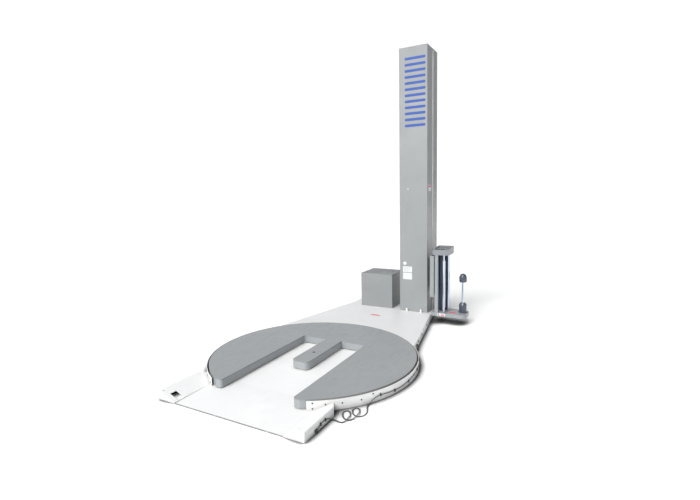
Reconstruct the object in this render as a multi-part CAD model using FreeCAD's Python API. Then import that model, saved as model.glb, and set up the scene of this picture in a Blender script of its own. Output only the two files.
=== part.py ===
import FreeCAD, Part
import math
import os

# Turntable pallet wrapper: a low turntable with two fork slots, a bridge behind it, a mast with a
# lifting film carriage, and a control box. Millimetres, +Z up, +Y from the turntable to the mast,
# origin on the floor under the turntable's pivot.

# --- driving dimensions -------------------------------------------------------------------------
# turntable deck
deck_radius = 825.0
deck_top = 75.0
deck_plate = 8.0
deck_wall = 6.0
slot_inner = 75.0
slot_outer = 303.0
slot_end = 332.0
slot_corner = 25.0
tongue_tip = -217.0
tongue_corner = 40.0
arm_setback = 80.0
arm_corner = 22.0
# floor under the deck
floor_plate_thickness = 8.0
deck_floor_gap = 4.0
ramp_joint_setback = 225.0
ramp_bend_setback = 135.0
ramp_reach = 216.0
ramp_lip = 2.0
ramp_half = 437.0
wing_half = 583.0
wing_height = 66.0
wing_sheet = 4.0
# skirts around the deck
skirt_gap = 13.0
skirt_sheet = 3.0
skirt_top = 69.0
skirt_front_angle = -61.5
skirt_rear_angle = 90.0
skirt_joint_gap = 0.1
# bridge between the deck and the mast
bridge_front = 495.0
bridge_knee = 1650.0
bridge_rear = 1900.0
bridge_right = 491.0
bridge_left = 452.0
bridge_top = 74.0
bridge_sheet = 4.0
cover_gap = 6.0
# mast
mast_left = 167.0
mast_right = 472.0
mast_front = 1519.0
mast_depth = 350.0
mast_top = 2835.0
mast_sheet = 2.0
mast_cap_thickness = 6.0
slot_front_from_face = 155.0
slot_width = 50.0
column_width = 100.0
column_depth = 120.0
column_wall = 5.0
column_left = 215.0
column_front = 1640.0
column_top = 2780.0
foot_thickness = 10.0
lift_travel = 2000.0
# film carriage
carriage_left = 540.0
carriage_right = 892.0
carriage_front = 1430.0
carriage_depth = 220.0
pan_top = 115.0
pan_height = 36.0
pan_corner = 75.0
head_left = 558.0
head_right = 718.0
head_bottom = 712.0
head_height = 56.0
head_rise = 20.0
carriage_sheet = 3.0
roller_gap = 5.0
chrome_radius = 15.0
roller_shaft = 10.0
chrome_shaft = 8.0
feed_x = 608.0
feed_y = 1550.0
chrome_front_x = 661.0
chrome_front_y = 1473.0
chrome_rear_x = 685.0
chrome_rear_y = 1565.0
gear_module = 2.0
feed_teeth = 42
stretch_teeth = 27
gear_width = 12.0
spindle_x = 836.0
spindle_y = 1556.0
spindle_radius = 11.0
core_radius = 38.0
cone_top = 214.0
plug_bottom = 431.0
plug_top = 519.0
# control box
box_left = -310.0
box_right = 65.0
box_front = 1540.0
box_depth = 345.0
box_top = 450.0
box_sheet = 2.0
# running parts under the deck and in the bridge
wheel_path = 575.0
wheel_radius = 24.0
wheel_width = 23.0
axle_radius = 6.0
drive_wheel_radius = 60.0
drive_wheel_angle = 30.0
pivot_radius = 25.0
# clearances
running = 0.05
touch_gap = 0.3
free_gap = 1.0

# --- derived sizes ------------------------------------------------------------------------------
deck_under = deck_top - deck_plate
arm_tip = -(deck_radius - arm_setback)
ramp_joint = -(deck_radius - ramp_joint_setback)
ramp_bend = -(deck_radius - ramp_bend_setback)
ramp_front = -(deck_radius + ramp_reach)
skirt_inner = deck_radius + skirt_gap
wall_bottom = floor_plate_thickness + deck_floor_gap
skirt_outer = skirt_inner + skirt_sheet
bridge_half = math.sqrt(skirt_outer ** 2 - bridge_front ** 2)
cover_under = bridge_top - bridge_sheet
mast_back = mast_front + mast_depth
slot_front = mast_front + slot_front_from_face
slot_back = slot_front + slot_width
slot_middle = (slot_front + slot_back) / 2
cap_under = mast_top - mast_cap_thickness
column_right = column_left + column_width
column_back = column_front + column_depth
carriage_back = carriage_front + carriage_depth
pan_under = pan_top - carriage_sheet
pan_bottom = pan_top - pan_height
head_top = head_bottom + head_height
box_back = box_front + box_depth
gear_centres = gear_module * (feed_teeth + stretch_teeth) / 2
rubber_radius = (gear_centres - roller_gap) / 2
stretch_direction = math.radians(53.0)
stretch_x = feed_x + gear_centres * math.cos(stretch_direction)
stretch_y = feed_y + gear_centres * math.sin(stretch_direction)
drive_centre = deck_radius + drive_wheel_radius + touch_gap
wheel_angles = [-45, 0, 45, 135, 180, 225]

# lift drive inside the mast
sprocket_radius = 46.0
sprocket_x = column_right + 39.0
sprocket_width = 10.0
chain_width = 12.0
chain_thickness = 7.5
lower_sprocket_z = 180.0
upper_sprocket_z = column_top - 60.0
lift_shaft = 10.0
slider_bottom = 300.0
slider_top = 650.0
slider_wall = 8.0
arm_wall = 4.0
arm_left = column_right + free_gap + slider_wall
arm_bottom = 320.0
arm_top = 640.0
arm_half = 19.0
frame_left = 524.0
frame_flange = 42.0
frame_sheet = 6.0

# operator panel on the left side of the mast, and its buttons
panel_depth = 30.0
panel_front = 1645.0
panel_back = 1785.0
panel_bottom = 1150.0
panel_top = 1420.0
button_radius = 10.6
button_gap = 0.4
button_y = [1680.0, 1750.0]
button_z = 1215.0
stop_head_radius = 20.0
stop_y = 1715.0
stop_z = 1285.0

# sensor cable: a loose lead clipped round the right skirt, then in free curls on the floor
cable_diameter = 5.0
cable_route = [
    (674, 590, 40), (684, 540, 42), (698, 489, 44), (732, 428, 47), (764, 364, 49),
    (792, 299, 50), (814, 232, 49), (830, 163, 47), (841, 93, 44), (846, 22, 40),
    (845, -49, 35), (838, -119, 30), (825, -189, 27), (806, -257, 27), (782, -324, 31),
    (754, -384, 37), (733, -427, 31), (719, -460, 15), (713, -485, 5), (717, -512, 2.6),
    (729, -537, 2.6), (742, -566, 2.6), (748, -597, 2.6), (743, -625, 2.6), (730, -643, 2.6),
    (710, -650, 2.6), (689, -643, 2.6), (670, -626, 2.6), (658, -604, 2.6), (650, -582, 2.6),
    (657, -561, 2.6), (677, -555, 2.6), (694, -573, 3.5), (705, -600, 8), (712, -629, 13),
    (714, -659, 13), (708, -688, 7), (695, -708, 2.6), (675, -715, 2.6), (652, -706, 2.6),
    (632, -686, 2.6), (619, -662, 2.6), (612, -638, 2.6), (620, -617, 2.6), (640, -612, 2.6),
    (656, -630, 2.6), (668, -654, 3.5), (676, -679, 8.5), (680, -702, 13), (681, -726, 13),
    (677, -743, 8), (664, -755, 3.5), (645, -757, 2.6), (626, -751, 2.6), (608, -747, 3.5),
    (595, -755, 8), (589, -771, 16), (588, -792, 25), (588, -818, 32), (588, -846, 34),
    (588, -872, 30), (588, -894, 22), (588, -912, 15),
]
clip_angles = [20.0, 7.0, -6.0, -18.0, -27.0]

skirt_screws = [(-58.9, 55.0), (-58.9, 20.0), (-53.3, 42.5), (-45.9, 41.0), (-37.0, 38.0), (-31.0, 57.0)]
anchor_radius = 5.0


# --- helpers ------------------------------------------------------------------------------------
def box(x0, x1, y0, y1, z0, z1):
    return Part.makeBox(x1 - x0, y1 - y0, z1 - z0, FreeCAD.Vector(x0, y0, z0))


def upright(radius, z0, z1, x=0.0, y=0.0):
    return Part.makeCylinder(radius, z1 - z0, FreeCAD.Vector(x, y, z0))


def along(radius, start, end):
    base = FreeCAD.Vector(*start)
    line = FreeCAD.Vector(*end) - base
    return Part.makeCylinder(radius, line.Length, base, line)


def prism(points, z0, z1):
    corners = [FreeCAD.Vector(x, y, z0) for x, y in points]
    face = Part.Face(Part.makePolygon(corners + corners[:1]))
    return face.extrude(FreeCAD.Vector(0, 0, z1 - z0))


def profile_along_y(points, y0, y1):
    corners = [FreeCAD.Vector(x, y0, z) for x, z in points]
    face = Part.Face(Part.makePolygon(corners + corners[:1]))
    return face.extrude(FreeCAD.Vector(0, y1 - y0, 0))


def turned(points, x, y):
    """A solid of revolution about an upright axis from (radius, height) points."""
    corners = [FreeCAD.Vector(x + r, y, z) for r, z in points]
    face = Part.Face(Part.makePolygon(corners + corners[:1]))
    return face.revolve(FreeCAD.Vector(x, y, 0), FreeCAD.Vector(0, 0, 1), 360)


def joined(shapes):
    whole = shapes[0]
    for shape in shapes[1:]:
        whole = whole.fuse(shape)
    return whole.removeSplitter()


def round_upright_edges(solid, corners):
    """Rounds the upright edges that stand at the given (x, y, radius) places."""
    for x, y, radius in corners:
        for edge in solid.Edges:
            ends = [v.Point for v in edge.Vertexes]
            if len(ends) != 2 or abs(ends[0].z - ends[1].z) < 1.0:
                continue
            if all(math.hypot(p.x - x, p.y - y) < 0.5 for p in ends):
                solid = solid.makeFillet(radius, [edge])
                break
    return solid


def turn_about_pivot(shape, degrees):
    copy = shape.copy()
    copy.rotate(FreeCAD.Vector(0, 0, 0), FreeCAD.Vector(0, 0, 1), degrees)
    return copy


def mirror_left(shape):
    return shape.mirror(FreeCAD.Vector(0, 0, 0), FreeCAD.Vector(1, 0, 0))


def save(name, shape):
    if shape.ShapeType != "Compound" and shape.isValid() is False:
        print("invalid", name)
    shape.exportStep("parts/" + name + ".step")
    print(name, len(shape.Solids), round(shape.Volume / 1000), "cm3")


# --- turntable ----------------------------------------------------------------------------------
def deck_form(inset, z0, z1):
    """The deck's outline, shrunk by inset: a disc with a mouth, two fork slots and a tongue."""
    outer = slot_outer + inset
    inner = slot_inner - inset
    far = -deck_radius - 50
    form = upright(deck_radius - inset, z0, z1)
    form = form.cut(box(-outer, outer, far, tongue_tip + inset, z0, z1))
    form = form.cut(box(-outer, -inner, far, slot_end + inset, z0, z1))
    form = form.cut(box(inner, outer, far, slot_end + inset, z0, z1))
    form = form.cut(box(-deck_radius, deck_radius, far, arm_tip + inset, z0, z1))
    corners = [(inner, tongue_tip + inset, tongue_corner - inset)]
    corners.append((outer, slot_end + inset, slot_corner + inset))
    corners.append((outer, arm_tip + inset, arm_corner - inset))
    both = corners + [(-x, y, r) for x, y, r in corners]
    return round_upright_edges(form, both)


def deck_plate_part():
    plate = deck_form(0.0, deck_under, deck_top)
    plate = plate.cut(upright(14.0, deck_top - 5.0, deck_top))
    plate = plate.cut(upright(6.5, deck_under, deck_top))
    return plate


def deck_frame_part():
    """The welded frame under the deck plate: rim and slot walls with stiffening ribs."""
    inside = deck_form(deck_wall, wall_bottom - 1, deck_under + 1)
    walls = deck_form(0.0, wall_bottom, deck_under).cut(inside)
    rib_half = 2.5
    ribs = []
    for y in (-520.0, -200.0, 200.0, 520.0):
        ribs.append(box(-deck_radius, deck_radius, y - rib_half, y + rib_half, 20.0, deck_under))
    for x in (-45.0, 45.0):
        ribs.append(box(x - rib_half, x + rib_half, slot_end, deck_radius, 20.0, deck_under))
    inside = deck_form(deck_wall - 1.0, 20.0, deck_under)
    kept = [rib.common(inside) for rib in ribs]
    return joined([walls] + kept)


def pivot_hub_part():
    hub = upright(40.0, wall_bottom + 2, deck_under)
    return hub.cut(upright(pivot_radius + running, wall_bottom, deck_under))


def pivot_post_part():
    post = upright(pivot_radius, floor_plate_thickness, deck_under - 5.0)
    flange = upright(38.0, floor_plate_thickness, wall_bottom + 1.0)
    post = joined([post, flange])
    return post.cut(upright(axle_radius, 40.0, deck_under))


def pivot_screw_part():
    head = upright(11.0, deck_top - 4.5, deck_top - 1.0)
    shank = upright(axle_radius, 40.0, deck_top - 3.0)
    socket = upright(4.5, deck_top - 3.5, deck_top)
    return joined([head, shank]).cut(socket)


def wheel_bracket():
    """One fork for a support wheel, with its fixed axle, on the +X side."""
    side = wheel_width / 2 + 1.0
    cheek = 4.0
    half = 22.0
    axle_z = floor_plate_thickness + wheel_radius
    inner = wheel_path - side
    outer = wheel_path + side
    pieces = [box(inner - cheek, inner, -half, half, axle_z - 10.0, deck_under)]
    pieces.append(box(outer, outer + cheek, -half, half, axle_z - 10.0, deck_under))
    pieces.append(box(inner - cheek, outer + cheek, -half, half, deck_under - 4.0, deck_under))
    pieces.append(along(axle_radius, (inner - cheek - 4, 0, axle_z), (outer + cheek + 4, 0, axle_z)))
    return joined(pieces)


def support_wheel():
    axle_z = floor_plate_thickness + wheel_radius
    start = (wheel_path - wheel_width / 2, 0, axle_z)
    end = (wheel_path + wheel_width / 2, 0, axle_z)
    wheel = along(wheel_radius - touch_gap, start, end)
    rim = [e for e in wheel.Edges if abs(e.Length - 2 * math.pi * (wheel_radius - touch_gap)) < 0.1]
    wheel = wheel.makeFillet(2.0, rim)
    return wheel.cut(along(axle_radius + running, start, end))


# --- base ---------------------------------------------------------------------------------------
def bridge_outline(inset=0.0):
    lean = math.hypot(bridge_half - bridge_right, bridge_knee - bridge_front)
    slope_right = inset * lean / (bridge_knee - bridge_front)
    lean = math.hypot(bridge_half - bridge_left, bridge_knee - bridge_front)
    slope_left = inset * lean / (bridge_knee - bridge_front)
    right = [(bridge_half - slope_right, bridge_front), (bridge_right - inset, bridge_knee)]
    right.append((bridge_right - inset, bridge_rear - inset))
    left = [(-bridge_left + inset, bridge_rear - inset), (-bridge_left + inset, bridge_knee)]
    left.append((-bridge_half + slope_left, bridge_front))
    return right + left


def floor_plate_part():
    disc = upright(skirt_inner, 0, floor_plate_thickness)
    under_bridge = prism(bridge_outline(), 0, floor_plate_thickness)
    plate = joined([disc, under_bridge])
    front = box(-skirt_outer, skirt_outer, -skirt_outer, ramp_joint, 0, floor_plate_thickness)
    return plate.cut(front)


def entry_ramp_part():
    """A plate that is flat up to its bend and then falls to a thin front lip."""
    profile = [(ramp_joint, 0), (ramp_joint, floor_plate_thickness)]
    profile += [(ramp_bend, floor_plate_thickness), (ramp_front, ramp_lip), (ramp_front, 0)]
    corners = [FreeCAD.Vector(-wing_half, y, z) for y, z in profile]
    face = Part.Face(Part.makePolygon(corners + corners[:1]))
    whole = face.extrude(FreeCAD.Vector(2 * wing_half, 0, 0))
    middle = box(-ramp_half, ramp_half, ramp_front, ramp_joint, 0, floor_plate_thickness)
    disc = upright(skirt_inner, 0, floor_plate_thickness)
    return whole.common(joined([middle, disc]))


def wing_slope():
    return (wing_height - floor_plate_thickness) / (wing_half - ramp_half)


def wing_normal():
    slope = wing_slope()
    length = math.hypot(slope, 1.0)
    return (-slope / length, 1.0 / length)


def wing_point(x):
    """The height of the right wing's sloped top at x."""
    return floor_plate_thickness + (x - ramp_half) * wing_slope()


def wing_hole(x, y, radius):
    nx, nz = wing_normal()
    z = wing_point(x)
    return along(radius, (x - 20 * nx, y, z - 20 * nz), (x + 20 * nx, y, z + 20 * nz))


def wing_blank():
    """The right-hand wing: a bent sheet that rises outward, closed at its front end."""
    drop = wing_sheet * math.hypot(wing_slope(), 1.0)
    inner = wing_half - wing_sheet
    skin = [(ramp_half, floor_plate_thickness), (wing_half, wing_height), (wing_half, 0)]
    skin += [(inner, 0), (inner, wing_point(inner) - drop)]
    skin.append((ramp_half, floor_plate_thickness - drop))
    sheet = profile_along_y(skin, ramp_front, ramp_joint)
    end = [(ramp_half, floor_plate_thickness - drop), (inner + 1, wing_point(inner) - drop + 1)]
    end += [(inner + 1, 0), (ramp_half, 0)]
    gusset = profile_along_y(end, ramp_front, ramp_front + wing_sheet)
    wing = joined([sheet, gusset])
    top_edge = []
    for edge in wing.Edges:
        if all(abs(v.X - wing_half) < 0.1 and abs(v.Z - wing_height) < 0.1 for v in edge.Vertexes):
            top_edge.append(edge)
    wing = wing.makeFillet(5.0, top_edge)
    wing = wing.cut(upright(skirt_outer, -1, wing_height + 10))
    corner = [(wing_half + 5, ramp_front + 324), (wing_half - 41, ramp_front + 396)]
    corner += [(wing_half - 23, ramp_front + 541), (wing_half + 60, ramp_front + 541)]
    return wing.cut(prism(corner, -1, wing_height + 10))


def right_wing_part():
    wing = wing_blank()
    wing = wing.cut(wing_hole(505.0, ramp_front + 66, anchor_radius))
    for y in (ramp_front + 60, ramp_front + 45):
        wing = wing.cut(along(2.5, (wing_half - 10, y, 50), (wing_half + 1, y, 50)))
    return wing


def left_wing_part():
    wing = mirror_left(wing_blank())
    wing = wing.cut(box(-516, -441, ramp_front + 35, ramp_front + 87, -1, wing_height + 10))
    return wing.cut(mirror_left(wing_hole(560.0, ramp_front + 23, anchor_radius)))


def radial_cylinder(radius, r0, r1, angle, z):
    a = math.radians(angle)
    start = (r0 * math.cos(a), r0 * math.sin(a), z)
    end = (r1 * math.cos(a), r1 * math.sin(a), z)
    return along(radius, start, end)


def right_skirt_part():
    """The right half of the ring wall round the deck, with a window for the drive wheel."""
    sweep = skirt_rear_angle - skirt_joint_gap - skirt_front_angle
    floor = FreeCAD.Vector(0, 0, 0)
    up = FreeCAD.Vector(0, 0, 1)
    outer = Part.makeCylinder(skirt_outer, skirt_top, floor, up, sweep)
    outer.rotate(FreeCAD.Vector(0, 0, 0), FreeCAD.Vector(0, 0, 1), skirt_front_angle)
    skirt = outer.cut(upright(skirt_inner, -1, skirt_top + 1))
    skirt = skirt.cut(prism(bridge_outline(), -1, floor_plate_thickness))
    skirt = skirt.cut(entry_ramp_part())
    x, y = drive_centres()[0]
    skirt = skirt.cut(upright(drive_wheel_radius + 4, 44.5, skirt_top + 1, x, y))
    for angle, z in skirt_screws:
        skirt = skirt.cut(radial_cylinder(3.0, skirt_inner - 2, skirt_outer + 2, angle, z))
    return skirt


def side_bolt_places():
    """Centres and outward directions of the bolts on the bridge's two sloping sides."""
    places = []
    for end, sign in ((bridge_right, 1), (bridge_left, -1)):
        dx = (bridge_half - end) / (bridge_knee - bridge_front)
        length = math.hypot(dx, 1.0)
        for y in (700.0, 900.0, 1200.0):
            x = bridge_half - dx * (y - bridge_front)
            places.append((sign * x, y, sign / length, dx / length))
    return places


def base_screws_part():
    screws = []
    for angle, z in skirt_screws:
        shank = radial_cylinder(3.0, skirt_outer - 6, skirt_outer, angle, z)
        head = radial_cylinder(5.0, skirt_outer, skirt_outer + 2.0, angle, z)
        screw = joined([shank, head])
        screws.append(screw)
        screws.append(mirror_left(screw))
    for x, y, nx, ny in side_bolt_places():
        shank = along(4.0, (x - 10 * nx, y - 10 * ny, 45), (x, y, 45))
        head = along(8.0, (x, y, 45), (x + 5 * nx, y + 5 * ny, 45))
        screws.append(joined([shank, head]))
    return Part.makeCompound(screws)


def drive_centres():
    half = math.radians(drive_wheel_angle)
    return [(drive_centre * math.sin(half) * s, drive_centre * math.cos(half)) for s in (1, -1)]


def bridge_frame_part():
    """The welded frame under the bridge cover: side and rear walls with ribs between them."""
    bottom = floor_plate_thickness
    outer = prism(bridge_outline(), bottom, cover_under)
    inner = prism(bridge_outline(bridge_sheet), bottom - 1, cover_under + 1)
    walls = outer.cut(inner)
    ribs = [box(x - 2.5, x + 2.5, 800, bridge_rear - 2, bottom, cover_under) for x in (-150.0, 120.0)]
    for x in (200.0, 440.0):
        ribs.append(box(x - 2.5, x + 2.5, 1490, bridge_rear - 2, bottom, cover_under - foot_thickness))
    cross = box(-600, 600, 1247.5, 1252.5, bottom, cover_under)
    cross = cross.common(prism(bridge_outline(bridge_sheet / 2), bottom, cover_under))
    frame = joined([walls, cross] + ribs)
    frame = frame.cut(upright(skirt_outer, bottom - 1, cover_under + 1))
    for x, y, nx, ny in side_bolt_places():
        frame = frame.cut(along(4.0, (x - 10 * nx, y - 10 * ny, 45), (x + 3 * nx, y + 3 * ny, 45)))
    return frame


def foot_bolt_places():
    front = mast_front - 17.0
    rear = mast_back + 15.0
    return [(250.0, front), (407.0, front), (215.0, rear), (425.0, rear)]


def bridge_cover_part():
    cover = prism(bridge_outline(), cover_under, bridge_top)
    cover = cover.cut(upright(deck_radius + cover_gap, cover_under - 1, bridge_top + 1))
    g = free_gap
    hole = box(column_left - g, column_right + g, column_front - g, column_back + g, 60, 80)
    cover = cover.cut(hole)
    for x, y in foot_bolt_places():
        cover = cover.cut(upright(6.5, cover_under - 1, bridge_top + 1, x, y))
    return cover


def foot_bolts_part():
    bolts = []
    for x, y in foot_bolt_places():
        turns = [k * math.pi / 3 for k in range(6)]
        hexagon = [(x + 12.5 * math.cos(a), y + 12.5 * math.sin(a)) for a in turns]
        head = prism(hexagon, bridge_top + 3.0, bridge_top + 20.0)
        cap = upright(9.0, bridge_top + 20.0, bridge_top + 34.0, x, y)
        rim = [e for e in cap.Edges if all(abs(v.Z - bridge_top - 34.0) < 0.1 for v in e.Vertexes)]
        cap = cap.makeFillet(4.0, rim)
        washer = upright(14.0, bridge_top, bridge_top + 3.0, x, y)
        shank = upright(6.0, cover_under - foot_thickness - 8, bridge_top + 4, x, y)
        bolts.append(joined([washer, head, cap, shank]))
    return Part.makeCompound(bolts)


def drive_motor_part(side):
    """A flat gearbox under a drive wheel, with its motor lying away from the turntable."""
    x, y = drive_centres()[0]
    away = FreeCAD.Vector(x, y, 0)
    away.normalize()
    reach = drive_wheel_radius + 6
    motor = Part.makeCylinder(28, 130, FreeCAD.Vector(reach - 2, 0, 37), FreeCAD.Vector(1, 0, 0))
    gearbox = box(-35, reach, -35, 35, floor_plate_thickness, 44).fuse(motor)
    gearbox = gearbox.fuse(box(reach + 20, reach + 110, -20, 20, floor_plate_thickness, 20))
    gearbox = gearbox.removeSplitter().cut(upright(8.0 + running, 37, 46))
    heading = math.degrees(math.atan2(away.y, away.x))
    gearbox.rotate(FreeCAD.Vector(0, 0, 0), FreeCAD.Vector(0, 0, 1), heading)
    gearbox.translate(FreeCAD.Vector(x, y, 0))
    return gearbox if side > 0 else mirror_left(gearbox)


def drive_wheel_part(side):
    x, y = drive_centres()[0]
    tyre = upright(drive_wheel_radius, 46, 64, x, y)
    tyre = tyre.makeFillet(2.0, [e for e in tyre.Edges if e.Length > 2 * math.pi * drive_wheel_radius - 1])
    hub = upright(18.0, 45, 66, x, y)
    shaft = upright(8.0, 38, 66, x, y)
    wheel = joined([tyre, hub, shaft])
    for k in range(5):
        a = 2 * math.pi * k / 5
        wheel = wheel.cut(upright(9.0, 44, 70, x + 34 * math.cos(a), y + 34 * math.sin(a)))
    return wheel if side > 0 else mirror_left(wheel)


# --- mast ---------------------------------------------------------------------------------------
def mast_front_cover_part():
    z0 = bridge_top
    z1 = cap_under
    s = mast_sheet
    outer = box(mast_left, mast_right, mast_front, slot_front, z0, z1)
    outer = round_upright_edges(outer, [(mast_left, mast_front, 5.0), (mast_right, mast_front, 5.0)])
    inner = box(mast_left + s, mast_right - s, mast_front + s, slot_front + 1, z0 - 1, z1 + 1)
    corners = [(mast_left + s, mast_front + s, 5.0 - s), (mast_right - s, mast_front + s, 5.0 - s)]
    cover = outer.cut(round_upright_edges(inner, corners))
    left = box(mast_left, mast_left + s, slot_front, slot_middle - free_gap, z0, z1)
    lip = box(mast_right - 16, mast_right, slot_front - s, slot_front, z0, z1)
    return joined([cover, left, lip])


def mast_rear_cover_part():
    z0 = bridge_top
    z1 = cap_under
    s = mast_sheet
    outer = box(mast_left, mast_right, slot_back, mast_back, z0, z1)
    outer = round_upright_edges(outer, [(mast_left, mast_back, 5.0), (mast_right, mast_back, 5.0)])
    inner = box(mast_left + s, mast_right - s, slot_back - 1, mast_back - s, z0 - 1, z1 + 1)
    corners = [(mast_left + s, mast_back - s, 5.0 - s), (mast_right - s, mast_back - s, 5.0 - s)]
    cover = outer.cut(round_upright_edges(inner, corners))
    left = box(mast_left, mast_left + s, slot_middle + free_gap, slot_back, z0, z1)
    lip = box(mast_right - 16, mast_right, slot_back, slot_back + s, z0, z1)
    return joined([cover, left, lip])


def mast_cap_part():
    plate = box(mast_left, mast_right, mast_front, mast_back, cap_under, mast_top)
    top = [e for e in plate.Edges if all(abs(v.Z - mast_top) < 0.1 for v in e.Vertexes)]
    plate = plate.makeFillet(2.0, top)
    s = mast_sheet + free_gap
    rim = box(mast_left + s, mast_right - 20, mast_front + s, mast_back - s, cap_under - 16, cap_under)
    hole = box(mast_left + s + 2, mast_right - 22, mast_front + s + 2, mast_back - s - 2, 0, cap_under)
    return joined([plate, rim.cut(hole)])


def mast_column_part():
    """The guide column that carries the slider, with its foot plate and the upper shaft boss."""
    foot_bottom = cover_under - foot_thickness
    outer = box(column_left, column_right, column_front, column_back, foot_bottom, column_top)
    w = column_wall
    inner = box(column_left + w, column_right - w, column_front + w, column_back - w,
                cover_under, column_top)
    foot = box(mast_left + 18, mast_right - 17, mast_front - 34, bridge_rear - 7, foot_bottom, cover_under)
    boss = box(column_right, column_right + 30, slot_middle - 25, slot_middle + 25,
               upper_sprocket_z - 25, upper_sprocket_z + 25)
    column = joined([outer.cut(inner), foot, boss])
    start = (column_right + 5, slot_middle, upper_sprocket_z)
    end = (column_right + 31, slot_middle, upper_sprocket_z)
    column = column.cut(along(lift_shaft + running, start, end))
    for x, y in foot_bolt_places():
        column = column.cut(upright(6.5, foot_bottom - 1, cover_under + 1, x, y))
    return column


def sprocket(z, shaft_from, shaft_to):
    half = sprocket_width / 2
    wheel = along(sprocket_radius, (sprocket_x - half, slot_middle, z), (sprocket_x + half, slot_middle, z))
    teeth = 20
    for k in range(teeth):
        a = 2 * math.pi * k / teeth
        y = slot_middle + (sprocket_radius + 1) * math.cos(a)
        h = z + (sprocket_radius + 1) * math.sin(a)
        wheel = wheel.cut(along(4.0, (sprocket_x - half - 1, y, h), (sprocket_x + half + 1, y, h)))
    shaft = along(lift_shaft, (shaft_from, slot_middle, z), (shaft_to, slot_middle, z))
    return joined([wheel, shaft])


def idler_sprocket_part():
    return sprocket(upper_sprocket_z, column_right + 6, sprocket_x + sprocket_width / 2 + 4)


def drive_sprocket_part():
    return sprocket(lower_sprocket_z, sprocket_x - sprocket_width / 2 - 4, sprocket_x + 34)


def stadium(radius):
    """An upright loop shape round both sprocket centres, as wide as the chain."""
    x0 = sprocket_x - chain_width / 2
    x1 = sprocket_x + chain_width / 2
    low = along(radius, (x0, slot_middle, lower_sprocket_z), (x1, slot_middle, lower_sprocket_z))
    high = along(radius, (x0, slot_middle, upper_sprocket_z), (x1, slot_middle, upper_sprocket_z))
    middle = box(x0, x1, slot_middle - radius, slot_middle + radius, lower_sprocket_z, upper_sprocket_z)
    return joined([low, middle, high])


def lift_chain_part():
    inner = sprocket_radius + touch_gap + 0.2
    return stadium(inner + chain_thickness).cut(stadium(inner))


def lift_motor_part():
    """The lift gearbox on its foot, with the motor lying towards the front of the mast."""
    left = sprocket_x + 12
    z = lower_sprocket_z
    right = mast_right - 26
    middle = (left + right) / 2
    gearbox = box(left, right, slot_middle - 40, slot_middle + 40, z - 40, z + 40)
    foot = box(left + 8, right - 8, slot_middle - 30, slot_middle + 30, bridge_top, z - 40)
    motor = along((right - left) / 2 - 2, (middle, slot_middle - 40, z), (middle, mast_front + 25, z))
    unit = joined([gearbox, foot, motor])
    start = (left - 1, slot_middle, z)
    end = (left + 24, slot_middle, z)
    return unit.cut(along(lift_shaft + running, start, end))


# --- film carriage ------------------------------------------------------------------------------
def carriage_slider_part():
    """The sleeve that slides on the column, and the arm that reaches out through the mast's slot."""
    g = free_gap
    outer = g + slider_wall
    sleeve = box(column_left - outer, arm_left, column_front - outer, column_back + outer,
                 slider_bottom, slider_top)
    hole = box(column_left - g, column_right + g, column_front - g, column_back + g, 0, slider_top + 50)
    arm = box(arm_left - 1, frame_left, slot_middle - arm_half, slot_middle + arm_half, arm_bottom, arm_top)
    inside = arm_half - arm_wall
    hollow = box(arm_left, frame_left, slot_middle - inside, slot_middle + inside,
                 arm_bottom + arm_wall, arm_top - arm_wall)
    arm = arm.cut(hollow)
    clamp_front = slot_middle - sprocket_radius + 2
    clamp = box(sprocket_x - 8, sprocket_x + 8, clamp_front, slot_middle, arm_bottom + 60, arm_top - 60)
    return joined([sleeve, arm, clamp]).cut(hole)


def carriage_frame_part():
    """The upright side and back plates, welded to a T, that hold the pan, the head and the arm."""
    side = box(frame_left, frame_left + frame_sheet, carriage_front + 10, slot_back, 270, 700)
    back = box(frame_left, 650, carriage_back, carriage_back + frame_sheet, pan_bottom, head_top)
    flange = box(frame_left, frame_left + frame_flange, carriage_front + 10, carriage_front + 16, 270, 700)
    plate = joined([side, flange, back])
    for z in (360.0, 600.0):
        for y in (slot_middle - 10, slot_middle + 10):
            plate = plate.cut(along(4.0, (frame_left - 1, y, z), (frame_left + frame_sheet + 1, y, z)))
    return plate


def rounded_pan(inset, z0, z1):
    form = box(carriage_left + inset, carriage_right - inset, carriage_front + inset,
               carriage_back - inset, z0, z1)
    corners = []
    for y in (carriage_front + inset, carriage_back - inset):
        corners.append((carriage_right - inset, y, pan_corner - inset))
    return round_upright_edges(form, corners)


def carriage_pan_part():
    pan = rounded_pan(0, pan_bottom, pan_top).cut(rounded_pan(carriage_sheet, pan_bottom - 1, pan_under))
    shafts = [(feed_x, feed_y, roller_shaft), (stretch_x, stretch_y, roller_shaft)]
    shafts += [(chrome_front_x, chrome_front_y, chrome_shaft), (chrome_rear_x, chrome_rear_y, chrome_shaft)]
    shafts.append((spindle_x, spindle_y, spindle_radius))
    bosses = [upright(radius + 8, pan_bottom + 12, pan_under, x, y) for x, y, radius in shafts]
    pan = joined([pan] + bosses)
    for x, y, radius in shafts:
        pan = pan.cut(upright(radius + running, pan_bottom - 1, pan_top + 1, x, y))
    return pan


def carriage_post_part():
    left = 577.0
    front = carriage_front + 2
    outer = box(left, left + 33, front, front + 30, pan_top, head_bottom)
    upright_corners = [(left + dx, front + dy, 3.0) for dx in (0, 33) for dy in (0, 30)]
    outer = round_upright_edges(outer, upright_corners)
    return outer.cut(box(left + 3, left + 30, front + 3, front + 27, pan_top - 1, head_bottom + 1))


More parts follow.
